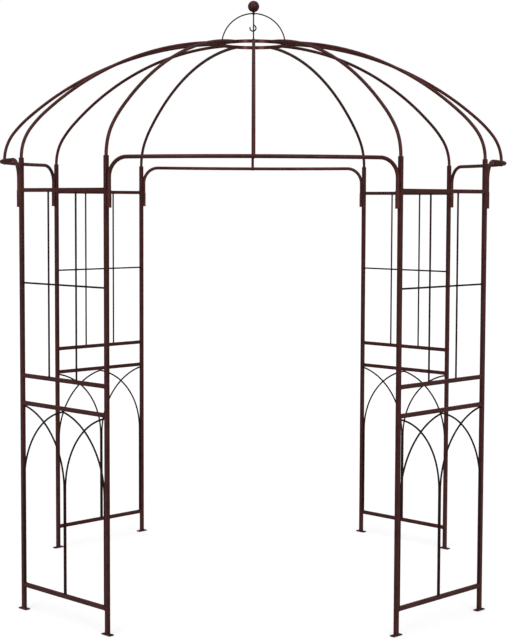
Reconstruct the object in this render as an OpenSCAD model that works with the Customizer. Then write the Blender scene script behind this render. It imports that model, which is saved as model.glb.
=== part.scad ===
// Domed garden pavilion for climbing roses: eight posts, four doorways, four trellis panels.
// Millimetres, +Z up. The origin is on the ground at the middle, and -Y is the front doorway.

/* [Plan] */
// Distance between two opposite rows of posts, axis to axis
span = 2000; // [1800:10:2200]
// Width of a doorway, post axis to post axis
door_w = 1193; // [1050:1:1250]

/* [Posts] */
// Side of the square post and rail tube
tube_size = 17; // [15:0.5:20]
// Wall of the square tube
tube_wall = 1; // [0.8:0.1:1.2]
// Outer corner radius of the square tube
tube_corner = 1.4; // [1.3:0.1:3]
// Height of the post tops
post_top = 1975.5; // [1950:0.5:2000]
// Height of the joint between the lower and the upper frame
joint_h = 971.5; // [960:0.5:985]
// Length of the coupler inside that joint
coupler_len = 100; // [60:1:120]
// Wall of the coupler
coupler_wall = 1.5; // [1:0.1:2]
// Clearance on each side of the coupler in the post
coupler_gap = 0.2; // [0.1:0.05:0.4]

/* [Rails] */
// Height of the bottom rail's axis
bottom_rail_h = 110.5; // [80:0.5:160]
// Height of the axis of the lower frame's top rail
lower_mid_h = 913; // [880:0.5:920]
// Height of the axis of the upper frame's bottom rail
upper_mid_h = 1033; // [1022:0.5:1060]
// Height of the top rail's axis
top_rail_h = 1836; // [1800:0.5:1850]

/* [Panel rods] */
// Diameter of the four arched rods in a lower panel
arch_rod_d = 8; // [5:0.5:10]
// Radius of the arched rods
arch_r = 340; // [320:1:400]
// Diameter of the upright rods in an upper panel
upright_rod_d = 8; // [5:0.5:10]
// Distance between the upright rods
upright_pitch = 185; // [120:1:260]
// Diameter of the cross rod in an upper panel
cross_rod_d = 8; // [5:0.5:10]
// Height of the cross rod
cross_rod_h = 1436; // [1300:0.5:1600]
// Gap left by the bead where two round pieces are welded
weld_gap = 0.1; // [0.05:0.05:0.3]

/* [Foot plates] */
// Length of a foot plate, along its panel
foot_len = 53; // [50:1:80]
// Width of a foot plate
foot_w = 24; // [20:1:40]
// Thickness of a foot plate
foot_t = 5; // [2:0.5:8]
// Diameter of the two ground peg holes
foot_hole_d = 8; // [6:0.5:9]
// Distance between the two ground peg holes
foot_hole_pitch = 38; // [36:1:40]

/* [Lintels] */
// Diameter of the round lintel tube over a doorway
lintel_d = 16.5; // [12:0.5:18]
// Wall of the lintel tube
lintel_wall = 1.2; // [1:0.1:1.6]
// Height of the lintel's axis
lintel_h = 1968.5; // [1955:0.5:1980]
// Bend radius at the lintel's two shoulders
lintel_bend_r = 82; // [60:1:100]
// How far the lintel bows out beyond its legs
lintel_bow = 155; // [80:1:200]
// Length of the sockets that hold the lintel's legs
socket_len = 73; // [60:1:100]
// Wall of a socket
socket_wall = 1.1; // [1:0.1:1.5]
// Clearance around a leg in its socket
socket_gap = 0.2; // [0.1:0.05:0.4]
// How far a leg stays above the bottom of its socket
leg_lift = 5; // [2:1:15]

/* [Ribs] */
// Clearance around the foot of a round dome rib in its square post
rib_gap = 0.4; // [0.2:0.05:0.6]
// Wall of the ribs
rib_wall = 1.2; // [1:0.1:1.6]
// Length of a rib's foot inside its post
rib_foot = 60; // [40:1:90]
// How far a door rib stands straight above its lintel
rib_stand = 0.5; // [0.5:0.5:10]
// Radius of the first bend, above the post
shoulder_r = 208; // [190:1:230]
// Turn of the first bend
shoulder_a = 38.4; // [36:0.1:41]
// Radius of the easing bend
haunch_r = 525; // [450:5:600]
// Turn of the easing bend
haunch_a = 10.3; // [8:0.1:12]

/* [Crown] */
// Outer radius of the crown ring
crown_r = 155; // [140:1:170]
// Height of the crown ring's flat band
crown_band = 16; // [14:1:24]
// Thickness of the band
crown_wall = 3; // [2:0.5:4]
// Height of the middle of the band
crown_h = 2523; // [2505:0.5:2540]
// Diameter of the hoop wire over the crown
hoop_d = 6; // [5:0.5:7]
// Height of the hoops' crossing
hoop_top = 2666; // [2655:0.5:2680]
// Diameter of the ball
ball_d = 53; // [40:1:60]
// How much thicker the ball's stem is than the hoop wires that butt on it
stem_margin = 3; // [3:0.5:6]
// How far the stem shows between the ball and the hoops' axis
stem_len = 6; // [5:0.5:20]

/* [Hook] */
// Diameter of the hook wire
hook_d = 6; // [4:0.5:7]
// Radius of the hook's bends
hook_r = 14; // [10:0.5:20]
// How far the hook's bowl sits beside the shank
hook_shift = 2.5; // [0:0.5:5]
// Straight length of the hook's shank
hook_shank = 39; // [20:1:60]
// Turn of the hook's tip above its bowl
hook_tip_a = 22; // [0:1:40]

/* [Fasteners] */
// Diameter of the screws' shanks
screw_d = 4; // [3:0.5:5]
// Diameter of the screws' heads
head_d = 7.5; // [7:0.5:9]
// Height of the screws' heads
head_h = 2; // [1.5:0.5:3]
// Length of the screws under the head
screw_len = 9; // [7:0.5:10]
// Length of the threaded plugs in the feet of the door ribs
plug_len = 10; // [8:1:12]
// Gap between a rib's inner end and the crown ring
rib_end_gap = 0.3; // [0.3:0.1:1]
// Length of the crown ring's spigots inside the ribs
spigot_len = 25; // [15:1:30]
// Clearance around a spigot or a plug in its rib
spigot_gap = 0.3; // [0.3:0.05:0.5]
// Clearance between two pieces that are bolted or slipped together
fit_gap = 0.1; // [0.05:0.05:0.2]

/* [Hidden] */
// Facets of round sections, and of long bends
round_fn = 48;
bend_fn = 360;
// How far a cut runs past a face
past = 1;
// Successive bends of one tube lap by this much, inside one that is a skin thicker, and so fuse
lap = 0.3;
skin = 0.02;
paint = [0.33, 0.22, 0.20];
paint_dark = [0.24, 0.15, 0.14];
steel = [0.36, 0.27, 0.25];

// Panels and doorways, anticlockwise from the front left, with the bearing of each
panel_names = ["front_left", "front_right", "back_right", "back_left"];
panel_bearings = [225, 315, 45, 135];
door_names = ["front", "right", "back", "left"];
door_bearings = [270, 0, 90, 180];
sides = [1, -1];

// A panel's middle plane and half width, and the circle through the post axes
panel_dist = (span + door_w) / 2 / sqrt(2);
panel_half = (span - door_w) / 2 / sqrt(2);
post_circle = norm([span / 2, door_w / 2]);
rail_len = 2 * panel_half - tube_size;
bore = tube_size - 2 * tube_wall;
bore_corner = tube_corner - tube_wall;
rib_d = bore - 2 * rib_gap;

// Arched rods: the outer pair runs up beside the posts, the inner pair up the panel's middle
rod_layer = arch_rod_d / 2 + weld_gap / 2;
outer_tail_x = panel_half - tube_size / 2 - arch_rod_d / 2 - weld_gap;
inner_tail_x = rod_layer;
arch_run = outer_tail_x - weld_gap / 2;
arch_start = bottom_rail_h + tube_size / 2;
arch_roof = lower_mid_h - tube_size / 2 - weld_gap;
arch_rise = sqrt(pow(arch_r + arch_rod_d / 2, 2) - pow(max(arch_r - arch_run, 0), 2));
arch_spring = arch_roof - arch_rise;
upright_layer = (upright_rod_d + cross_rod_d) / 4 + weld_gap / 2;

// Sockets and lintel legs stand on the panel's line, just past its posts
socket_d = lintel_d + 2 * (socket_gap + socket_wall);
socket_out = tube_size / 2 + socket_d / 2 + weld_gap;
leg_x = door_w / 2 - socket_out / sqrt(2);
leg_y = span / 2 + socket_out / sqrt(2);
leg_bottom = top_rail_h - socket_len + leg_lift;
lintel_turn = 2 * atan(lintel_bow / (leg_x + lintel_bend_r));
lintel_arc_r = (leg_x - lintel_bend_r * cos(lintel_turn)) / sin(lintel_turn);
lintel_mid_y = leg_y + lintel_bow;
lintel_crest = lintel_h + lintel_d / 2;
saddle_d = lintel_d + 2 * fit_gap;

// Ribs spring from the post tops or the lintels, and each last bend is drawn to meet the crown ring
door_spring = lintel_crest + rib_stand;
haunch_end_a = shoulder_a + haunch_a;
bend_in = shoulder_r * (1 - cos(shoulder_a)) + haunch_r * (cos(shoulder_a) - cos(haunch_end_a));
bend_up = shoulder_r * sin(shoulder_a) + haunch_r * (sin(haunch_end_a) - sin(shoulder_a));
rib_stop = crown_r + rib_end_gap;
function dome_in(start_r) = start_r - rib_stop - bend_in;
function dome_up(spring) = crown_h - spring - bend_up;
function dome_a(start_r, spring) = 2 * (atan2(dome_in(start_r), dome_up(spring)) - haunch_end_a);
function dome_r(start_r, spring) =
    norm([dome_in(start_r), dome_up(spring)]) / 2 / sin(dome_a(start_r, spring) / 2);

// Crown: the hoops stand inside the band, and butt on the ball's stem
stem_d = hoop_d + stem_margin;
hoop_r = crown_r - crown_wall - hoop_d / 2 - weld_gap;
hoop_base = hoop_top - hoop_r;
stem_bottom = hoop_top - hoop_d;
ball_z = hoop_top + stem_len + ball_d / 2;
hook_top = stem_bottom;
hook_turn = acos((hook_r + hook_shift) / (2 * hook_r));

// Places of the screws: two at each post joint, one at each rib foot and each socket
joint_screw_h = coupler_len / 4;
rib_screw_z = post_top - rib_foot / 3;
socket_screw_z = top_rail_h - socket_len / 2;
screw_hole_d = screw_d + 2 * fit_gap;
plug_d = rib_d - 2 * (rib_wall + skin + spigot_gap);

// Section of the square tube, or of what fills its bore
module rounded_square(size, corner) {
    square([size, size - 2 * corner], center = true);
    square([size - 2 * corner, size], center = true);
    for (x = sides, y = sides)
        translate([x * (size / 2 - corner), y * (size / 2 - corner)])
            circle(r = corner, $fn = round_fn);
}

module square_tube(length) {
    linear_extrude(length)
        difference() {
            rounded_square(tube_size, tube_corner);
            rounded_square(bore, bore_corner);
        }
}

// Section of a round tube, thickened by a skin inside and out, and a stretch of it along Z
module tube_section(d, wall, thicker = 0) {
    difference() {
        circle(d = d + 2 * thicker, $fn = round_fn);
        circle(d = d - 2 * wall - 2 * thicker, $fn = round_fn);
    }
}

module round_tube(d, wall, length) {
    linear_extrude(length) tube_section(d, wall);
}

module wire(d, length) {
    cylinder(d = d, h = length, $fn = round_fn);
}

// A bend of a section lies in the XY plane, starts on +X and turns anticlockwise about the origin
module bend(r, turn, lap_in = 0, lap_out = 0) {
    lead = lap_in / r * 180 / PI;
    tail = lap_out / r * 180 / PI;
    rotate([0, 0, -lead])
        rotate_extrude(angle = lead + turn + tail, $fn = bend_fn)
            translate([r, 0])
                children();
}

module wire_bend(r, turn, d, thicker = 0) {
    bend(r, turn) circle(d = d + 2 * thicker, $fn = round_fn);
}

// Frame of a panel: X along it, Y outwards, at the middle of its plane
module at_panel(i) {
    rotate([0, 0, panel_bearings[i] - 90])
        translate([0, panel_dist, 0])
            children();
}

// Frame of a doorway: Y outwards through its middle
module at_door(i) {
    rotate([0, 0, door_bearings[i] - 90])
        children();
}

// Frame of post k, from 0 to 7: Z up its axis, Y out of its panel
module at_post(k) {
    at_panel(floor(k / 2))
        translate([sides[k % 2] * panel_half, 0, 0])
            children();
}

// Turns X away from the middle of the pavilion, at post k or at doorway i
module facing_post(k) {
    rotate([0, 0, panel_bearings[floor(k / 2)] - sides[k % 2] * atan(panel_half / panel_dist)])
        children();
}

module facing_door(i) {
    rotate([0, 0, door_bearings[i]])
        children();
}

// A hole from the axis of an upright piece to its inner side
module screw_hole(reach) {
    rotate([90, 0, 0])
        cylinder(d = screw_hole_d, h = reach, $fn = round_fn);
}

module lower_post(k) {
    color(paint)
        at_post(k)
            difference() {
                translate([0, 0, foot_t]) square_tube(joint_h - foot_t);
                translate([0, 0, joint_h - joint_screw_h]) screw_hole(tube_size);
            }
}

module upper_post(k) {
    color(paint)
        at_post(k)
            difference() {
                translate([0, 0, joint_h]) square_tube(post_top - joint_h);
                translate([0, 0, joint_h + joint_screw_h]) screw_hole(tube_size);
                translate([0, 0, rib_screw_z]) screw_hole(tube_size);
            }
}

// A rail butts on the inner faces of two posts
module rail(height) {
    translate([-rail_len / 2, 0, height])
        rotate([0, 90, 0])
            square_tube(rail_len);
}

module lower_rails(i) {
    color(paint)
        at_panel(i) {
            rail(bottom_rail_h);
            rail(lower_mid_h);
        }
}

module upper_rails(i) {
    color(paint)
        at_panel(i) {
            rail(upper_mid_h);
            rail(top_rail_h);
        }
}

// One arched rod: up from the bottom rail at tail_x, then over towards side
module arch_rod(tail_x, side, layer, stop_x) {
    difference() {
        translate([tail_x, layer, 0]) {
            translate([0, 0, arch_start]) wire(arch_rod_d, arch_spring + lap - arch_start);
            translate([side * arch_r, 0, arch_spring])
                mirror([side > 0 ? 1 : 0, 0, 0])
                    rotate([90, 0, 0])
                        wire_bend(arch_r, acos(1 - arch_run / arch_r) + past, arch_rod_d, skin);
        }
        translate([stop_x + (side > 0 ? 0 : -arch_r), layer - arch_rod_d, arch_spring])
            cube([arch_r, 2 * arch_rod_d, arch_r + arch_rod_d]);
    }
}

module arch_rods(i) {
    post_face = panel_half - tube_size / 2 - weld_gap;
    color(paint_dark)
        at_panel(i)
            for (s = sides) {
                arch_rod(s * outer_tail_x, -s, rod_layer, s * weld_gap / 2);
                arch_rod(s * inner_tail_x, s, -rod_layer, s * post_face);
            }
}

module trellis_rods(i) {
    upright_bottom = upper_mid_h + tube_size / 2;
    color(paint_dark)
        at_panel(i) {
            for (s = sides)
                translate([s * upright_pitch / 2, upright_layer, upright_bottom])
                    wire(upright_rod_d, top_rail_h - tube_size / 2 - upright_bottom);
            translate([-rail_len / 2, -upright_layer, cross_rod_h])
                rotate([0, 90, 0])
                    wire(cross_rod_d, rail_len);
        }
}

// The rib's three bends, from where it springs inwards to the crown ring
module rib_bends(start_r, spring) {
    dome = dome_r(start_r, spring);
    translate([start_r - shoulder_r, 0, spring])
        rotate([90, 0, 0]) {
            bend(shoulder_r, shoulder_a) tube_section(rib_d, rib_wall, skin);
            rotate([0, 0, shoulder_a])
                translate([shoulder_r - haunch_r, 0, 0]) {
                    bend(haunch_r, haunch_a, lap, lap) tube_section(rib_d, rib_wall);
                    rotate([0, 0, haunch_a])
                        translate([haunch_r - dome, 0, 0])
                            bend(dome, dome_a(start_r, spring)) tube_section(rib_d, rib_wall, skin);
                }
        }
}

// Frame of a rib's inner end: Z runs out of the end, towards the crown ring's axis
module at_rib_end(start_r, spring) {
    translate([rib_stop, 0, crown_h])
        rotate([0, -(haunch_end_a + dome_a(start_r, spring)), 0])
            children();
}

// The foot's screw hole turns from the rib's own frame to the inner face of its post
module post_rib(k) {
    color(paint)
        facing_post(k) {
            rib_bends(post_circle, post_top);
            translate([post_circle, 0, 0])
                difference() {
                    translate([0, 0, post_top - rib_foot]) round_tube(rib_d, rib_wall, rib_foot + lap);
                    translate([0, 0, rib_screw_z])
                        rotate([0, 0, sides[k % 2] * atan(panel_half / panel_dist) - 90])
                            screw_hole(rib_d);
                }
        }
}

// A door rib has no foot: its end is cut to sit on the lintel's crest
module door_rib(i) {
    color(paint)
        facing_door(i) {
            rib_bends(lintel_mid_y, door_spring);
            translate([lintel_mid_y, 0, lintel_h])
                difference() {
                    round_tube(rib_d, rib_wall, door_spring + lap - lintel_h);
                    rotate([90, 0, 0])
                        cylinder(d = saddle_d, h = 2 * rib_d, center = true, $fn = 2 * round_fn);
                }
        }
}

// One leg of a lintel, with its bend towards the doorway's middle, on the +X side
module lintel_leg() {
    translate([leg_x, leg_y, 0])
        difference() {
            union() {
                translate([0, 0, lintel_h - lintel_bend_r])
                    rotate([0, 0, 180 - lintel_turn])
                        translate([lintel_bend_r, 0, 0])
                            mirror([1, 0, 0])
                                rotate([90, 0, 0])
                                    bend(lintel_bend_r, 90) tube_section(lintel_d, lintel_wall, skin);
                translate([0, 0, leg_bottom])
                    round_tube(lintel_d, lintel_wall, lintel_h - lintel_bend_r + lap - leg_bottom);
            }
            translate([0, 0, socket_screw_z])
                rotate([0, 0, -45])
                    screw_hole(lintel_d);
        }
}

module lintel(i) {
    color(paint)
        at_door(i)
            difference() {
                union() {
                    lintel_leg();
                    mirror([1, 0, 0]) lintel_leg();
                    translate([0, lintel_mid_y - lintel_arc_r, lintel_h])
                        rotate([0, 0, 90 - lintel_turn])
                            bend(lintel_arc_r, 2 * lintel_turn, lap, lap)
                                tube_section(lintel_d, lintel_wall);
                }
                translate([0, lintel_mid_y, lintel_h])
                    cylinder(d = screw_hole_d, h = 2 * lintel_d, center = true, $fn = round_fn);
            }
}

module foot_plates() {
    color(paint)
        for (k = [0:7])
            at_post(k)
                difference() {
                    translate([-foot_len / 2, -foot_w / 2, 0]) cube([foot_len, foot_w, foot_t]);
                    for (s = sides)
                        translate([s * foot_hole_pitch / 2, 0, -past])
                            wire(foot_hole_d, foot_t + 2 * past);
                }
}

module post_couplers() {
    outer = bore - 2 * coupler_gap;
    corner = bore_corner + coupler_gap;
    color(steel)
        for (k = [0:7])
            at_post(k)
                difference() {
                    translate([0, 0, joint_h - coupler_len / 2])
                        linear_extrude(coupler_len)
                            difference() {
                                rounded_square(outer, corner);
                                square(outer - 2 * coupler_wall, center = true);
                            }
                    for (s = sides)
                        translate([0, 0, joint_h + s * joint_screw_h]) screw_hole(tube_size);
                }
}

module lintel_sockets() {
    color(paint)
        for (k = [0:7])
            at_post(k)
                translate([sides[k % 2] * socket_out, 0, 0])
                    difference() {
                        translate([0, 0, top_rail_h - socket_len])
                            round_tube(socket_d, socket_wall, socket_len);
                        translate([0, 0, socket_screw_z]) screw_hole(socket_d);
                    }
}

// A plug in the foot of each door rib, with a blind hole for the screw from below
module door_rib_plugs() {
    color(steel)
        for (i = [0:3])
            facing_door(i)
                translate([lintel_mid_y, 0, lintel_crest + fit_gap])
                    difference() {
                        wire(plug_d, plug_len);
                        translate([0, 0, -past]) wire(screw_hole_d, plug_len);
                    }
}

module crown_ring() {
    color(paint)
        rotate_extrude($fn = bend_fn)
            translate([crown_r - crown_wall, crown_h - crown_band / 2])
                square([crown_wall, crown_band]);
}

// A spigot welded to the outside of the band, that a rib's inner end slides on to
module crown_spigot(start_r, spring) {
    at_rib_end(start_r, spring)
        translate([0, 0, -spigot_len]) wire(plug_d, spigot_len + rib_end_gap / 3);
}

module crown_spigots() {
    color(steel) {
        for (k = [0:7])
            facing_post(k) crown_spigot(post_circle, post_top);
        for (i = [0:3])
            facing_door(i) crown_spigot(lintel_mid_y, door_spring);
    }
}

module crown_hoops() {
    color(paint_dark)
        difference() {
            for (a = [0:90:270])
                rotate([0, 0, a])
                    translate([0, 0, hoop_base])
                        rotate([90, 0, 0])
                            wire_bend(hoop_r, 90, hoop_d);
            translate([0, 0, hoop_top])
                cylinder(d = stem_d + 2 * weld_gap, h = 4 * hoop_d, center = true, $fn = round_fn);
        }
}

module ball_finial() {
    color(paint) {
        translate([0, 0, ball_z]) sphere(d = ball_d, $fn = 2 * round_fn);
        translate([0, 0, stem_bottom]) cylinder(d = stem_d, h = ball_z - stem_bottom, $fn = round_fn);
    }
}

// The hook's shank turns aside, then its bowl turns back under the middle
module hanging_hook() {
    turn_z = hook_top - hook_shank;
    bowl_z = turn_z - 2 * hook_r * sin(hook_turn);
    color(paint_dark) {
        translate([0, 0, turn_z - lap]) wire(hook_d, hook_shank + lap);
        translate([hook_r, 0, turn_z])
            rotate([90, 180, 0])
                wire_bend(hook_r, hook_turn, hook_d, skin);
        translate([-hook_shift, 0, bowl_z])
            rotate([90, 180 + hook_tip_a, 0])
                wire_bend(hook_r, hook_tip_a + 180 + hook_turn + lap / hook_r * 180 / PI, hook_d);
    }
}

// A screw under the head's plane, with the head above it
module screw(length) {
    wire(head_d, head_h);
    translate([0, 0, -length]) wire(screw_d, length + past);
}

module frame_screws() {
    color(steel)
        for (k = [0:7])
            at_post(k) {
                for (z = [joint_h - joint_screw_h, joint_h + joint_screw_h, rib_screw_z])
                    translate([0, -tube_size / 2, z]) rotate([90, 0, 0]) screw(screw_len);
                translate([sides[k % 2] * socket_out, -socket_d / 2, socket_screw_z])
                    rotate([90, 0, 0])
                        screw(screw_len);
            }
}

module lintel_screws() {
    color(steel)
        for (i = [0:3])
            facing_door(i)
                translate([lintel_mid_y, 0, lintel_h - lintel_d / 2])
                    mirror([0, 0, 1])
                        screw(lintel_d + plug_len / 2);
}

for (k = [0:7]) {
    lower_post(k);
    upper_post(k);
    post_rib(k);
}
for (i = [0:3]) {
    lower_rails(i);
    upper_rails(i);
    arch_rods(i);
    trellis_rods(i);
    lintel(i);
    door_rib(i);
}
foot_plates();
post_couplers();
lintel_sockets();
door_rib_plugs();
crown_ring();
crown_spigots();
crown_hoops();
ball_finial();
hanging_hook();
frame_screws();
lintel_screws();
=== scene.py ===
import math

import bmesh
import bpy
import numpy as np
from mathutils import Matrix, Vector


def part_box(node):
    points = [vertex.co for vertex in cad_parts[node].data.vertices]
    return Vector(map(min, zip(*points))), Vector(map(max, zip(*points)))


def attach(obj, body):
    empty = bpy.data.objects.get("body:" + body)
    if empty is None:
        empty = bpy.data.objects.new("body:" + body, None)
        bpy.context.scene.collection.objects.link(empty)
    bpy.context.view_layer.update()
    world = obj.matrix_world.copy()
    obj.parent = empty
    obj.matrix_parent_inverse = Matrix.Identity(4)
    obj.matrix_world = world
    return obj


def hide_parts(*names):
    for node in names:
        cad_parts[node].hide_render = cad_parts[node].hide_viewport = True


# A round rose pavilion: the finishes of its tubes and rods, its weld beads and its screws
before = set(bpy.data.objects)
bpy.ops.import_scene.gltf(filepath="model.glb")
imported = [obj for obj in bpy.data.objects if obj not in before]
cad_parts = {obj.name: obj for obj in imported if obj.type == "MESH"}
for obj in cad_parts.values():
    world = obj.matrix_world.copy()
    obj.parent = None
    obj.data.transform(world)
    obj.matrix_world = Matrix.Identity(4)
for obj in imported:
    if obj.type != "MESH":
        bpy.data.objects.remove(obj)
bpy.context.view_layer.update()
print("frame loaded with", len(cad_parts), "CAD nodes")

upward = Vector((0, 0, 1))
joinDistance = 1e-6  # metres: points closer than this are one point


# sRGB hex, as read off a colour chart, to the linear values that the sockets take
def linearColour(hexText):
    channels = []
    for start in (1, 3, 5):
        value = int(hexText[start:start + 2], 16) / 255
        channels.append(value / 12.92 if value <= 0.04045 else ((value + 0.055) / 1.055) ** 2.4)
    return (*channels, 1.0)


# Adds a node, sets its properties, and fills or links its inputs
def addNode(tree, kind, settings=None, inputs=None):
    node = tree.nodes.new(kind)
    for name, value in (settings or {}).items():
        setattr(node, name, value)
    for key, value in (inputs or {}).items():
        if isinstance(value, bpy.types.NodeSocket):
            tree.links.new(value, node.inputs[key])
        else:
            node.inputs[key].default_value = value
    return node


def emptyMaterial(name):
    material = bpy.data.materials.new(name)
    material.use_nodes = True
    material.node_tree.nodes.clear()
    return material, material.node_tree


def linkedObject(name, data):
    made = bpy.data.objects.new(name, data)
    bpy.context.scene.collection.objects.link(made)
    return made


# An object's mesh as its modifiers leave it
def finishedMesh(made):
    bpy.context.view_layer.update()
    return bpy.data.meshes.new_from_object(made.evaluated_get(bpy.context.evaluated_depsgraph_get()))


# Powder coat on steel tube: melted resin powder, so a satin skin with a slight orange peel,
# cloudy where the powder lay thicker, with fine bronze flecks and a thinner, browner film on edges.
# The bronze flakes in it give a red-brown gloss, so it counts as part metal.
# A range gives the two readings of its pattern between which the effect grows from none to full
powderCoatTube = {
    "baseColour": "#432321",
    "cloudColour": "#351B1A",
    "fleckColour": "#5C3029",
    "edgeColour": "#57322B",
    "cloudMm": 45,
    "cloudRange": (0.35, 0.65),
    "fleckMm": 1.6,
    "fleckRange": (0.62, 0.72),
    "fleckShare": 0.4,
    "edgeMm": 1.0,
    "edgeRange": (0.99, 0.85),
    "edgeShare": 0.4,
    "roughness": 0.3,
    "roughnessSpread": 0.05,
    "roughnessRange": (0.3, 0.7),
    "grazingRoughness": 1.0,
    "grazingRange": (0.35, 0.8),
    "metallic": 0.28,
    "specular": 0.05,
    "peelMm": 2.2,
    "bumpMm": 0.05,
    "bumpStrength": 0.5,
}
powderCoatRod = dict(powderCoatTube, baseColour="#22100E", cloudColour="#190C0A", fleckColour="#2E1D19",
                     roughness=0.4, metallic=0.15, edgeMm=0.5)
# The coat lies thicker and glossier over the ripples of a weld
powderCoatTubeWeld = dict(powderCoatTube, baseColour="#40211E", roughness=0.34, bumpMm=0.09, edgeMm=0.4)
powderCoatRodWeld = dict(powderCoatRod, baseColour="#2A1512", roughness=0.36, bumpMm=0.09, edgeMm=0.4)


def powderCoat(name, look):
    material, tree = emptyMaterial(name)
    place = addNode(tree, "ShaderNodeTexCoord").outputs["Object"]
    cloud = addNode(tree, "ShaderNodeTexNoise", inputs={
        "Vector": place, "Scale": 1000 / look["cloudMm"], "Detail": 3.0, "Roughness": 0.6})
    cloudAmount = addNode(tree, "ShaderNodeMapRange", inputs={
        "Value": cloud.outputs["Fac"], "From Min": look["cloudRange"][0], "From Max": look["cloudRange"][1]})
    body = addNode(tree, "ShaderNodeMix", {"data_type": "RGBA"}, {
        0: cloudAmount.outputs["Result"],
        6: linearColour(look["baseColour"]), 7: linearColour(look["cloudColour"])})
    fleck = addNode(tree, "ShaderNodeTexNoise", inputs={
        "Vector": place, "Scale": 1000 / look["fleckMm"], "Detail": 1.0})
    fleckAmount = addNode(tree, "ShaderNodeMapRange", inputs={
        "Value": fleck.outputs["Fac"], "From Min": look["fleckRange"][0], "From Max": look["fleckRange"][1],
        "To Max": look["fleckShare"]})
    flecked = addNode(tree, "ShaderNodeMix", {"data_type": "RGBA"}, {
        0: fleckAmount.outputs["Result"], 6: body.outputs[2], 7: linearColour(look["fleckColour"])})
    # An edge shows where the rounded normal leaves the face's own
    geometry = addNode(tree, "ShaderNodeNewGeometry")
    rounded = addNode(tree, "ShaderNodeBevel", {"samples": 4}, {"Radius": look["edgeMm"] / 1000})
    turned = addNode(tree, "ShaderNodeVectorMath", {"operation": "DOT_PRODUCT"}, {
        0: rounded.outputs["Normal"], 1: geometry.outputs["True Normal"]})
    edgeAmount = addNode(tree, "ShaderNodeMapRange", inputs={
        "Value": turned.outputs["Value"], "From Min": look["edgeRange"][0], "From Max": look["edgeRange"][1],
        "To Max": look["edgeShare"]})
    coloured = addNode(tree, "ShaderNodeMix", {"data_type": "RGBA"}, {
        0: edgeAmount.outputs["Result"], 6: flecked.outputs[2], 7: linearColour(look["edgeColour"])})
    sheen = addNode(tree, "ShaderNodeMapRange", inputs={
        "Value": cloud.outputs["Fac"],
        "From Min": look["roughnessRange"][0], "From Max": look["roughnessRange"][1],
        "To Min": look["roughness"] - look["roughnessSpread"],
        "To Max": look["roughness"] + look["roughnessSpread"]})
    # Orange peel scatters what is seen at a glance, so the gloss fades towards the outline
    glance = addNode(tree, "ShaderNodeLayerWeight", inputs={"Blend": 0.5})
    glanceAmount = addNode(tree, "ShaderNodeMapRange", inputs={
        "Value": glance.outputs["Facing"],
        "From Min": look["grazingRange"][0], "From Max": look["grazingRange"][1]})
    roughness = addNode(tree, "ShaderNodeMix", {"data_type": "FLOAT"}, {
        0: glanceAmount.outputs["Result"], 2: sheen.outputs["Result"], 3: look["grazingRoughness"]})
    peel = addNode(tree, "ShaderNodeTexNoise", inputs={
        "Vector": place, "Scale": 1000 / look["peelMm"], "Detail": 2.0})
    skin = addNode(tree, "ShaderNodeBump", inputs={
        "Strength": look["bumpStrength"], "Distance": look["bumpMm"] / 1000, "Height": peel.outputs["Fac"]})
    shader = addNode(tree, "ShaderNodeBsdfPrincipled", inputs={
        "Base Color": coloured.outputs[2], "Roughness": roughness.outputs[0],
        "Metallic": look["metallic"], "IOR": 1.5, "Specular IOR Level": look["specular"],
        "Normal": skin.outputs["Normal"]})
    addNode(tree, "ShaderNodeOutputMaterial", inputs={"Surface": shader.outputs["BSDF"]})
    return material


# Zinc-plated steel: bright grey with faint crystal patches, dulled unevenly by handling
zincPlate = {
    "paleColour": "#A9ABA8",
    "darkColour": "#85888A",
    "spangleMm": 6,
    "smearMm": 5.5,
    "cleanRoughness": 0.28,
    "handledRoughness": 0.53,
}


def zincPlatedSteel(name, look):
    material, tree = emptyMaterial(name)
    place = addNode(tree, "ShaderNodeTexCoord").outputs["Object"]
    spangle = addNode(tree, "ShaderNodeTexVoronoi", inputs={
        "Vector": place, "Scale": 1000 / look["spangleMm"]})
    tone = addNode(tree, "ShaderNodeMix", {"data_type": "RGBA"}, {
        0: spangle.outputs["Distance"],
        6: linearColour(look["paleColour"]), 7: linearColour(look["darkColour"])})
    smear = addNode(tree, "ShaderNodeTexNoise", inputs={
        "Vector": place, "Scale": 1000 / look["smearMm"], "Detail": 4.0})
    dulled = addNode(tree, "ShaderNodeMapRange", inputs={
        "Value": smear.outputs["Fac"],
        "To Min": look["cleanRoughness"], "To Max": look["handledRoughness"]})
    shader = addNode(tree, "ShaderNodeBsdfPrincipled", inputs={
        "Base Color": tone.outputs[2], "Roughness": dulled.outputs["Result"], "Metallic": 1.0})
    addNode(tree, "ShaderNodeOutputMaterial", inputs={"Surface": shader.outputs["BSDF"]})
    return material


tubePaint = powderCoat("powderCoatedTube", powderCoatTube)
rodPaint = powderCoat("powderCoatedRod", powderCoatRod)
tubeWeldPaint = powderCoat("powderCoatedTubeWeld", powderCoatTubeWeld)
rodWeldPaint = powderCoat("powderCoatedRodWeld", powderCoatRodWeld)
innerSteel = zincPlatedSteel("zincPlatedSteel", zincPlate)

rodNodes = ("arch_rods_", "trellis_rods_", "crown_hoops", "hanging_hook")
innerNodes = ("post_couplers", "door_rib_plugs", "crown_spigots")
for nodeName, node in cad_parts.items():
    finish = tubePaint
    if nodeName.startswith(rodNodes):
        finish = rodPaint
    elif nodeName in innerNodes:
        finish = innerSteel
    node.data.materials.clear()
    node.data.materials.append(finish)
print("materials given to the CAD nodes")


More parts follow.
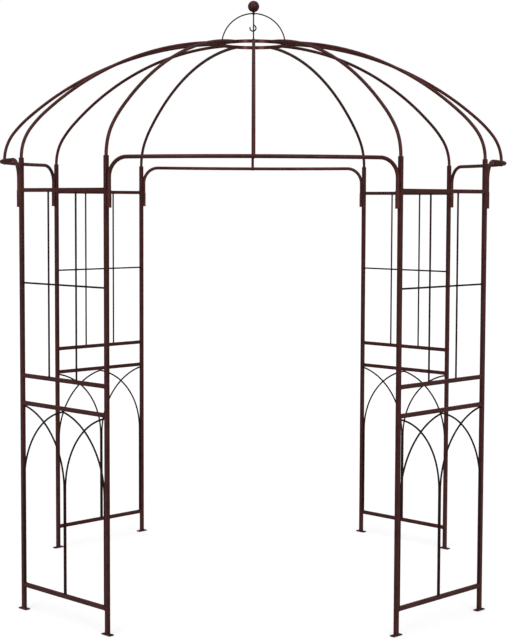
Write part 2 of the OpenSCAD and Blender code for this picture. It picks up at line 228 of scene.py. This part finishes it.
# A Geometry Nodes tree with named inputs, and the nodes that close it: real geometry with its paint
def newTree(name, sockets):
    tree = bpy.data.node_groups.new(name, "GeometryNodeTree")
    tree.interface.new_socket("Geometry", in_out="INPUT", socket_type="NodeSocketGeometry")
    for label, kind in sockets:
        tree.interface.new_socket(label, in_out="INPUT", socket_type="NodeSocket" + kind)
    tree.interface.new_socket("Geometry", in_out="OUTPUT", socket_type="NodeSocketGeometry")
    return tree, addNode(tree, "NodeGroupInput").outputs


def closeTree(tree, shape, paint):
    solid = addNode(tree, "GeometryNodeRealizeInstances", inputs={"Geometry": shape})
    painted = addNode(tree, "GeometryNodeSetMaterial", inputs={
        "Geometry": solid.outputs[0], "Material": paint})
    addNode(tree, "NodeGroupOutput", inputs={"Geometry": painted.outputs[0]})


# Runs a tree on a mesh of points or edges, and keeps the result as a plain mesh that rides on the body
def growPiece(name, mesh, tree, values):
    piece = linkedObject(name, mesh)
    modifier = piece.modifiers.new("grow", "NODES")
    modifier.node_group = tree
    for item in tree.interface.items_tree:
        if item.item_type == "SOCKET" and item.in_out == "INPUT" and item.name in values:
            modifier[item.identifier] = values[item.name]
    grown = finishedMesh(piece)
    piece.modifiers.remove(modifier)
    piece.data = grown
    bpy.data.meshes.remove(mesh)
    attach(piece, "root")
    print(name, "has", sum(len(face.vertices) - 2 for face in grown.polygons), "triangles")
    return piece


# What all weld beads share: the ripples along them, and how far and how often their width wanders
weldLook = {
    "rippleMm": 2.0,
    "rippleDepth": 0.14,
    "wander": 0.5,
    "wandersPerMetre": 110.0,
    "stepMm": 0.5,
    "sides": 8,
    "ringPoints": 24,
    "seed": 7.0,
}


# A weld bead: a rippled round cord laid along each edge path, closed where the path is closed
def weldTree(look):
    tree, given = newTree("weldBead", [
        ("Bead Radius", "Float"), ("Ripple Pitch", "Float"), ("Ripple Depth", "Float"),
        ("Wander", "Float"), ("Step", "Float"), ("Seed", "Float"), ("Paint", "Material")])
    paths = addNode(tree, "GeometryNodeMeshToCurve", inputs={"Mesh": given["Geometry"]})
    stepped = addNode(tree, "GeometryNodeResampleCurve", {"mode": "LENGTH"}, {
        "Curve": paths.outputs[0], "Length": given["Step"]})
    along = addNode(tree, "GeometryNodeSplineParameter")
    turns = addNode(tree, "ShaderNodeMath", {"operation": "DIVIDE"}, {
        0: along.outputs["Length"], 1: given["Ripple Pitch"]})
    angle = addNode(tree, "ShaderNodeMath", {"operation": "MULTIPLY"}, {0: turns.outputs[0], 1: math.tau})
    wave = addNode(tree, "ShaderNodeMath", {"operation": "SINE"}, {0: angle.outputs[0]})
    ripple = addNode(tree, "ShaderNodeMath", {"operation": "MULTIPLY_ADD"}, {
        0: wave.outputs[0], 1: given["Ripple Depth"], 2: 1.0})
    place = addNode(tree, "GeometryNodeInputPosition")
    drift = addNode(tree, "ShaderNodeTexNoise", {"noise_dimensions": "4D"}, {
        "Vector": place.outputs[0], "W": given["Seed"], "Scale": look["wandersPerMetre"], "Detail": 1.0})
    # The noise wanders around one half, and the width around one
    drifted = addNode(tree, "ShaderNodeMath", {"operation": "SUBTRACT"}, {0: drift.outputs[0], 1: 0.5})
    width = addNode(tree, "ShaderNodeMath", {"operation": "MULTIPLY_ADD"}, {
        0: drifted.outputs[0], 1: given["Wander"], 2: ripple.outputs[0]})
    profile = addNode(tree, "GeometryNodeCurvePrimitiveCircle", inputs={
        "Resolution": look["sides"], "Radius": given["Bead Radius"]})
    bead = addNode(tree, "GeometryNodeCurveToMesh", inputs={
        "Curve": stepped.outputs[0], "Profile Curve": profile.outputs[0], "Scale": width.outputs[0],
        "Fill Caps": True})
    smooth = addNode(tree, "GeometryNodeSetShadeSmooth", inputs={"Geometry": bead.outputs[0]})
    closeTree(tree, smooth.outputs[0], given["Paint"])
    return tree


weldBead = weldTree(weldLook)


# Paths are lists of (points, closed), in metres
def layWelds(name, paths, beadMm, paint):
    mesh = bpy.data.meshes.new(name)
    points, edges = [], []
    for path, closed in paths:
        first = len(points)
        points += path
        edges += [(first + i, first + i + 1) for i in range(len(path) - 1)]
        if closed:
            edges.append((len(points) - 1, first))
    mesh.from_pydata(points, edges, [])
    return growPiece(name, mesh, weldBead, {
        "Bead Radius": beadMm / 1000, "Ripple Pitch": weldLook["rippleMm"] / 1000,
        "Ripple Depth": weldLook["rippleDepth"], "Wander": weldLook["wander"],
        "Step": weldLook["stepMm"] / 1000, "Seed": weldLook["seed"], "Paint": paint})


# A node's mesh with its loose triangles joined, for reading only
def joinedCopy(nodeName):
    work = bmesh.new()
    work.from_mesh(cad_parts[nodeName].data)
    bmesh.ops.remove_doubles(work, verts=work.verts, dist=joinDistance)
    for elements in (work.verts, work.edges, work.faces):
        elements.index_update()
        elements.ensure_lookup_table()
    return work


# How square to the axis an end face is, and how far apart, in metres, the middles of the inner and outer
# outline of one tube's end may be
outlineLimits = {"square": 0.9999, "apart": 0.003}


# Outer outlines of the flat end faces that look along an axis: where a rail, a rod or a post is welded on
def endOutlines(nodeName, axis):
    work = joinedCopy(nodeName)
    ends = {face.index for face in work.faces if abs(face.normal.dot(axis)) > outlineLimits["square"]}
    links = {}
    for edge in work.edges:
        if sum(face.index in ends for face in edge.link_faces) == 1:
            first, second = (vert.index for vert in edge.verts)
            links.setdefault(first, []).append(second)
            links.setdefault(second, []).append(first)
    outlines = []
    while links:
        here = next(iter(links))
        ring = []
        while here in links:
            ring.append(here)
            here = next((other for other in links.pop(here) if other in links), None)
        outlines.append([work.verts[index].co.copy() for index in ring])
    work.free()
    middles = [sum(outline, Vector()) / len(outline) for outline in outlines]
    reaches = [max((point - middle).length for point in outline)
               for outline, middle in zip(outlines, middles)]
    outer = []
    for outline, middle, reach in zip(outlines, middles, reaches):
        rivals = [other for other, otherMiddle in zip(reaches, middles)
                  if (middle - otherMiddle).length <= outlineLimits["apart"]]
        if reach >= max(rivals):
            outer.append(outline)
    return outer


def ringPath(middle, axis, radius):
    across = axis.orthogonal().normalized()
    other = axis.cross(across).normalized()
    turns = [math.tau * i / weldLook["ringPoints"] for i in range(weldLook["ringPoints"])]
    return [middle + radius * (math.cos(turn) * across + math.sin(turn) * other) for turn in turns]


def linePath(start, end, count):
    return [start.lerp(end, i / (count - 1)) for i in range(count)]


# How far beside the line of touch a bead lies in the groove between a round and a flat,
# where it stands proud of both by the same amount
def grooveReach(radius, gap, proud):
    return math.sqrt((radius + proud) ** 2 - (radius + gap - proud) ** 2)


# Sizes in millimetres, as the frame has them, for the welds that no end face marks
panelMm = {
    "tube": 17.0,
    "rod": 8.0,
    "gap": 0.1,
    "socket": 19.1,
    "socketLength": 73.0,
    "topRail": 1836.0,
    "uprightPitch": 185.0,
    "crossRod": 1436.0,
    "archRadius": 340.0,
    "archSpring": 567.1,
}
panelNames = ("front_left", "front_right", "back_right", "back_left")
# Posts 1 to 8 go round the ring, two to a panel
postBoxes = [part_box(f"lower_post_{k}") for k in range(1, 9)]
postAxes = [Vector(((low[0] + high[0]) / 2, (low[1] + high[1]) / 2, 0)) for low, high in postBoxes]


# A panel's middle on the ground, the direction along it, and outwards
def panelFrame(i):
    first, second = postAxes[2 * i], postAxes[2 * i + 1]
    along = (first - second).normalized()
    return (first + second) / 2, along, Vector((-along.y, along.x, 0))


# Frame welds: every rail's two ends, every post on its foot plate, and the sockets' stitches
frameWeldMm = {"bead": 1.5, "proud": 0.825, "stitch": 16.0, "stitchInset": 6.0, "stitchPoints": 12}


def socketStitches(k, along, outward, size):
    side = 1 if k % 2 == 0 else -1  # on the doorway's side of the post
    groove = grooveReach(panelMm["socket"] / 2, panelMm["gap"], size["proud"])
    top = panelMm["topRail"] - size["stitchInset"]
    bottom = panelMm["topRail"] - panelMm["socketLength"] + size["stitchInset"]
    for start, end in ((top, top - size["stitch"]), (bottom + size["stitch"], bottom)):
        for face in (1, -1):
            aside = along * side * (panelMm["tube"] / 2 + size["proud"])
            foot = postAxes[k] + (aside + outward * face * groove) / 1000
            yield linePath(foot + upward * start / 1000, foot + upward * end / 1000, size["stitchPoints"])


frameWelds = []
for i, panelName in enumerate(panelNames):
    middle, along, outward = panelFrame(i)
    for nodeName in ("lower_rails_" + panelName, "upper_rails_" + panelName):
        frameWelds += [(outline, True) for outline in endOutlines(nodeName, along)]
    for k in (2 * i, 2 * i + 1):
        frameWelds += [(path, False) for path in socketStitches(k, along, outward, frameWeldMm)]
for k in range(1, 9):
    outlines = endOutlines(f"lower_post_{k}", upward)
    frameWelds.append((min(outlines, key=lambda outline: outline[0].z), True))
layWelds("frameWelds", frameWelds, frameWeldMm["bead"], tubeWeldPaint)

# Rod welds: rod ends on rails, posts and each other, a ring of weld where two rods cross,
# and short stitches where an arched rod runs up beside its post
rodWeldMm = {
    "bead": 1.1,
    "proud": 0.605,
    "crossingRing": 2.6,
    "stitch": 12.0,
    "stitchHeights": (190.0, 370.0, 550.0),
    "stitchPoints": 10,
}


# Where a panel's rods cross: the arches at two points, and the cross rod behind both uprights
def rodCrossings():
    halfPanel = (postAxes[0] - postAxes[1]).length * 1000 / 2
    outerTail = halfPanel - (panelMm["tube"] + panelMm["rod"]) / 2 - panelMm["gap"]
    innerTail = (panelMm["rod"] + panelMm["gap"]) / 2
    lean = math.acos(1 - (outerTail - innerTail) / (2 * panelMm["archRadius"]))
    archHeight = panelMm["archSpring"] + panelMm["archRadius"] * math.sin(lean)
    for side in (1, -1):
        yield side * (outerTail + innerTail) / 2, archHeight
        yield side * panelMm["uprightPitch"] / 2, panelMm["crossRod"]


def rodStitches(k, along, outward, size):
    side = -1 if k % 2 == 0 else 1  # on the panel's side of the post
    groove = grooveReach(panelMm["rod"] / 2, panelMm["gap"], size["proud"])
    layer = panelMm["rod"] / 2 + panelMm["gap"] / 2
    for height in size["stitchHeights"]:
        for face in (1, -1):
            aside = along * side * (panelMm["tube"] / 2 + size["proud"])
            foot = postAxes[k] + (aside + outward * (layer + face * groove)) / 1000
            top = foot + upward * (height + size["stitch"]) / 1000
            yield linePath(foot + upward * height / 1000, top, size["stitchPoints"])


rodWelds = []
for i, panelName in enumerate(panelNames):
    middle, along, outward = panelFrame(i)
    for nodeName in ("arch_rods_" + panelName, "trellis_rods_" + panelName):
        for axis in (along, upward):
            rodWelds += [(outline, True) for outline in endOutlines(nodeName, axis)]
    for x, z in rodCrossings():
        crossing = middle + (along * x + upward * z) / 1000
        rodWelds.append((ringPath(crossing, outward, rodWeldMm["crossingRing"] / 1000), True))
    for k in (2 * i, 2 * i + 1):
        rodWelds += [(path, False) for path in rodStitches(k, along, outward, rodWeldMm)]
layWelds("rodWelds", rodWelds, rodWeldMm["bead"], rodWeldPaint)

# Crown welds: the hoops' feet inside the ring, the hoops and the hook on the stem, the stem under the ball
crownMm = {
    "bead": 1.1,
    "proud": 0.6,
    "hoop": 6.0,
    "hoopTop": 2666.0,
    "hoopWeldOut": 0.2,
    "stem": 9.0,
    "stemShown": 6.0,
    "ball": 53.0,
    "ringInside": 152.0,
    "stitchTop": 2529.5,
    "stitchBottom": 2519.0,
    "stitchPoints": 10,
}


def crownWeldPaths(size):
    hoop, stem, ball = size["hoop"] / 2, size["stem"] / 2, size["ball"] / 2
    neck = size["hoopTop"] + size["stemShown"] + ball - math.sqrt(ball ** 2 - stem ** 2)
    yield ringPath(upward * neck / 1000, upward, stem / 1000), True
    yield ringPath(upward * (size["hoopTop"] - size["hoop"]) / 1000, upward, hoop / 1000), True
    top = upward * (size["hoopTop"] / 1000)
    groove = grooveReach(hoop, panelMm["gap"], size["proud"])
    for quarter in range(4):
        out = Matrix.Rotation(quarter * math.pi / 2, 3, "Z") @ Vector((1, 0, 0))
        beside = upward.cross(out)
        yield ringPath(top + out * (stem + size["hoopWeldOut"]) / 1000, out, hoop / 1000), True
        for face in (1, -1):
            foot = (out * (size["ringInside"] - size["proud"]) + beside * face * groove) / 1000
            start = foot + upward * size["stitchTop"] / 1000
            end = foot + upward * size["stitchBottom"] / 1000
            yield linePath(start, end, size["stitchPoints"]), False


layWelds("crownWelds", list(crownWeldPaths(crownMm)), crownMm["bead"], rodWeldPaint)

# Pan head screw with a cross recess, painted over: the head's dome, the recess, and the shank under it.
# Sizes in millimetres, with the tip and the recess's floor as shares of their full width
screwMm = {
    "headRadius": 3.75,
    "headHeight": 2.0,
    "rimHeight": 0.9,
    "rimBevel": 0.2,
    "shankRadius": 2.0,
    "tipLength": 1,
    "tipShare": 0.6,
    "recessLength": 4.2,
    "recessWidth": 1.0,
    "recessDepth": 1.3,
    "recessTaper": 0.55,
    "cutterAbove": 0.5,
    "segments": 32,
    "domeStepDegrees": 15,
    "flatDegrees": 0.1,
    "sharpDegrees": 35,
}


# Side faces between rings of points, and a face under the first
def skinRings(shape, rings):
    count = len(rings[0])
    for lower, upper in zip(rings, rings[1:]):
        for i in range(count):
            following = (i + 1) % count
            shape.faces.new((lower[i], lower[following], upper[following], upper[i]))
    shape.faces.new(rings[0][::-1])


def shapedObject(name, shape):
    mesh = bpy.data.meshes.new(name)
    shape.to_mesh(mesh)
    shape.free()
    return linkedObject(name, mesh)


def panHeadScrew(name, length, size):
    radius, rim, top = size["headRadius"], size["rimHeight"], size["headHeight"]
    shank, bevel, segments = size["shankRadius"], size["rimBevel"], size["segments"]
    leans = [math.radians(degrees) for degrees in range(0, 90, size["domeStepDegrees"])]
    profile = [(shank * size["tipShare"], -length), (shank, -length + size["tipLength"]), (shank, 0),
               (radius - bevel, 0), (radius, bevel)]
    profile += [(radius * math.cos(lean), rim + (top - rim) * math.sin(lean)) for lean in leans]
    turns = [math.tau * i / segments for i in range(segments)]
    shape = bmesh.new()
    rings = [[shape.verts.new((r * math.cos(turn) / 1000, r * math.sin(turn) / 1000, z / 1000))
              for turn in turns] for r, z in profile]
    skinRings(shape, rings)
    crest = shape.verts.new((0, 0, top / 1000))
    for i in range(segments):
        shape.faces.new((rings[-1][i], rings[-1][(i + 1) % segments], crest))
    screw = shapedObject(name, shape)
    cutter = recessCutter(size)
    cut = screw.modifiers.new("recess", "BOOLEAN")
    cut.operation = "DIFFERENCE"
    cut.object = cutter
    cut.solver = "EXACT"
    carved = finishedMesh(screw)
    screw.modifiers.clear()
    # The cut leaves points halfway along straight edges, which would become slivers without area
    shape = bmesh.new()
    shape.from_mesh(carved)
    bmesh.ops.remove_doubles(shape, verts=shape.verts, dist=joinDistance)
    bmesh.ops.dissolve_limit(shape, angle_limit=math.radians(size["flatDegrees"]),
                             verts=shape.verts, edges=shape.edges)
    bmesh.ops.triangulate(shape, faces=shape.faces)
    shape.to_mesh(carved)
    shape.free()
    screw.data = carved
    carved.shade_smooth()
    carved.set_sharp_from_angle(angle=math.radians(size["sharpDegrees"]))
    bpy.data.objects.remove(cutter)
    return screw


# The cross recess: a plus-shaped bar that narrows downwards and stands out above the head
def recessCutter(size):
    half, arm = size["recessWidth"] / 2, size["recessLength"] / 2
    floor = size["headHeight"] - size["recessDepth"]
    above = size["headHeight"] + size["cutterAbove"]
    bar = bmesh.new()
    rings = []
    for z, narrow in ((floor, size["recessTaper"]), (above, 1.0)):
        arms = [Vector((x * narrow, y * narrow, z)) / 1000
                for x, y in ((arm, -half), (arm, half), (half, half))]
        rings.append([bar.verts.new(Matrix.Rotation(quarter * math.pi / 2, 3, "Z") @ corner)
                      for quarter in range(4) for corner in arms])
    skinRings(bar, rings)
    bar.faces.new(rings[1])
    return shapedObject("recessCutter", bar)


# A screw on every seat, turned towards its aim, with its recess at a random angle
def screwTree():
    tree, given = newTree("screwSeats", [("Screw", "Object"), ("Seed", "Int"), ("Paint", "Material")])
    shape = addNode(tree, "GeometryNodeObjectInfo", inputs={"Object": given["Screw"]})
    aim = addNode(tree, "GeometryNodeInputNamedAttribute", {"data_type": "FLOAT_VECTOR"}, {"Name": "aim"})
    upright = addNode(tree, "FunctionNodeAlignRotationToVector", {"axis": "Z"}, {
        "Vector": aim.outputs["Attribute"]})
    turn = addNode(tree, "FunctionNodeRandomValue", {"data_type": "FLOAT"}, {
        3: math.tau, "Seed": given["Seed"]})
    twist = addNode(tree, "FunctionNodeAxisAngleToRotation", inputs={
        "Axis": upward, "Angle": turn.outputs[1]})
    driven = addNode(tree, "FunctionNodeRotateRotation", {"rotation_space": "LOCAL"}, {
        0: upright.outputs[0], 1: twist.outputs[0]})
    row = addNode(tree, "GeometryNodeInstanceOnPoints", inputs={
        "Points": given["Geometry"], "Instance": shape.outputs["Geometry"], "Rotation": driven.outputs[0]})
    closeTree(tree, row.outputs[0], given["Paint"])
    return tree


# Where each screw of a node seats, and which way its head looks, read from the frame's own screws.
# The head is on the side where points lie further from the axis than the shank's do
def screwSeats(nodeName, size):
    work = joinedCopy(nodeName)
    left = set(range(len(work.verts)))
    while left:
        front = [min(left)]
        island = set(front)
        while front:
            vert = work.verts[front.pop()]
            neighbours = {link.other_vert(vert).index for link in vert.link_edges} - island
            island |= neighbours
            front += sorted(neighbours)
        left -= island
        points = np.array([work.verts[index].co for index in sorted(island)])
        middle = points.mean(axis=0)
        axis = np.linalg.svd(points - middle)[2][0]
        reach = (points - middle) @ axis
        offset = np.linalg.norm(points - middle - np.outer(reach, axis), axis=1)
        if reach[offset > (size["headRadius"] + size["shankRadius"]) / 2000].mean() < 0:
            axis, reach = -axis, -reach
        yield middle + axis * (reach.max() - size["headHeight"] / 1000), axis, reach.max() - reach.min()
    work.free()


# The pieces that stand for the frame's screw nodes, and the seed of each one's recess angles
screwRows = {
    "frame_screws": {"piece": "frameScrews", "seed": 3},
    "lintel_screws": {"piece": "lintelScrews", "seed": 5},
}
screwRow = screwTree()
for nodeName, rowLook in screwRows.items():
    pieceName = rowLook["piece"]
    seats = list(screwSeats(nodeName, screwMm))
    mesh = bpy.data.meshes.new(pieceName)
    mesh.from_pydata([tuple(seat) for seat, _, _ in seats], [], [])
    aims = mesh.attributes.new("aim", "FLOAT_VECTOR", "POINT")
    aims.data.foreach_set("vector", np.array([aim for _, aim, _ in seats], dtype=np.float32).ravel())
    template = panHeadScrew(pieceName + "Template", seats[0][2] * 1000 - screwMm["headHeight"], screwMm)
    row = growPiece(pieceName, mesh, screwRow, {
        "Screw": template, "Seed": rowLook["seed"], "Paint": tubePaint})
    bpy.data.objects.remove(template)
    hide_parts(nodeName)

# Pale studio floor: white to the camera and in reflections, with the soft shadows by the feet,
# and a dark grey where it throws light back up on the object
floorLook = {
    "size": 80.0,
    "shownColour": "#FFFFFF",
    "bounceColour": "#303030",
    "shadowShare": 0.5,
    "white": 1.0,
}


# 1 for rays that show the surroundings (camera, gloss, glass), 0 for the light thrown on the object
def showingRays(tree):
    path = addNode(tree, "ShaderNodeLightPath")
    seenOrGloss = addNode(tree, "ShaderNodeMath", {"operation": "MAXIMUM"}, {
        0: path.outputs["Is Camera Ray"], 1: path.outputs["Is Glossy Ray"]})
    return addNode(tree, "ShaderNodeMath", {"operation": "MAXIMUM"}, {
        0: seenOrGloss.outputs[0], 1: path.outputs["Is Transmission Ray"]}).outputs[0]


def studioFloor(look):
    half = look["size"] / 2
    corners = [(-half, -half, 0), (half, -half, 0), (half, half, 0), (-half, half, 0)]
    mesh = bpy.data.meshes.new("studioFloor")
    mesh.from_pydata(corners, [], [(0, 1, 2, 3)])
    floor = linkedObject("studioFloor", mesh)
    material, tree = emptyMaterial("paleFloor")
    bounce = addNode(tree, "ShaderNodeBsdfDiffuse", inputs={"Color": linearColour(look["bounceColour"])})
    lit = addNode(tree, "ShaderNodeBsdfDiffuse", inputs={"Color": linearColour(look["shownColour"])})
    white = addNode(tree, "ShaderNodeEmission", inputs={"Color": (1, 1, 1, 1), "Strength": look["white"]})
    shown = addNode(tree, "ShaderNodeMixShader", inputs={
        0: look["shadowShare"], 1: white.outputs[0], 2: lit.outputs[0]})
    both = addNode(tree, "ShaderNodeMixShader", inputs={
        0: showingRays(tree), 1: bounce.outputs[0], 2: shown.outputs[0]})
    addNode(tree, "ShaderNodeOutputMaterial", inputs={"Surface": both.outputs[0]})
    mesh.materials.append(material)


studioFloor(floorLook)

# Far lamps, so that the whole floor is lit alike: two wide ones high in front for the body colour,
# two narrow ones low in front for the gloss on upright tubes, one above and one behind.
# Each has where it shines from, how wide it looks, and how strong it is
studioLamps = {
    "leftLight": {"from": (-0.55, -1.0, 0.8), "degrees": 45, "strength": 0.9},
    "rightLight": {"from": (0.55, -1.0, 0.8), "degrees": 45, "strength": 0.9},
    "leftStrip": {"from": (-0.55, -1.0, 0.14), "degrees": 12, "strength": 0.85},
    "rightStrip": {"from": (0.55, -1.0, 0.14), "degrees": 12, "strength": 0.85},
    "topLight": {"from": (-0.2, -0.3, 1.0), "degrees": 60, "strength": 1.2},
    "backLight": {"from": (0.5, 1.0, 0.7), "degrees": 50, "strength": 1.0},
}
for lampName, look in studioLamps.items():
    data = bpy.data.lights.new(lampName, "SUN")
    data.angle = math.radians(look["degrees"])
    data.energy = look["strength"]
    lamp = linkedObject(lampName, data)
    lamp.rotation_euler = (-Vector(look["from"])).to_track_quat("-Z", "Y").to_euler()

# White world behind the floor, dimmer where it lights the object
worldLook = {"seen": 1.0, "ambient": 0.2}
world = bpy.data.worlds.new("studioWorld")
world.use_nodes = True
bpy.context.scene.world = world
worldTree = world.node_tree
worldTree.nodes.clear()
strength = addNode(worldTree, "ShaderNodeMapRange", inputs={
    "Value": showingRays(worldTree), "To Min": worldLook["ambient"], "To Max": worldLook["seen"]})
backdrop = addNode(worldTree, "ShaderNodeBackground", inputs={
    "Color": (1, 1, 1, 1), "Strength": strength.outputs["Result"]})
addNode(worldTree, "ShaderNodeOutputWorld", inputs={"Surface": backdrop.outputs[0]})
print("floor, lights and world made")

# The photograph's camera: a long lens a little above eye level, in front of the doorway.
# Its place is in metres, its lens in millimetres, and its turns are in degrees
cameraLook = {
    "at": (-0.0128, -7.2096, 1.7895),
    "lens": 85.92,
    "yaw": 0.1557,
    "pitch": 3.8903,
    "roll": 0.1978,
    "shiftY": -0.0226,
}
yaw, pitch, roll = (math.radians(cameraLook[name]) for name in ("yaw", "pitch", "roll"))
forward = Vector((math.sin(yaw) * math.cos(pitch), math.cos(yaw) * math.cos(pitch), -math.sin(pitch)))
level = Vector((math.cos(yaw), -math.sin(yaw), 0))
upright = level.cross(forward)
frameRight = math.cos(roll) * level + math.sin(roll) * upright
frameTop = math.cos(roll) * upright - math.sin(roll) * level
cameraData = bpy.data.cameras.new("photoCamera")
cameraData.lens = cameraLook["lens"]
cameraData.shift_y = cameraLook["shiftY"]
camera = linkedObject("photoCamera", cameraData)
turned = Matrix((frameRight, frameTop, -forward)).transposed().to_4x4()
camera.matrix_world = Matrix.Translation(cameraLook["at"]) @ turned
bpy.context.scene.camera = camera
bpy.context.scene.view_settings.view_transform = "Standard"
print("camera placed")
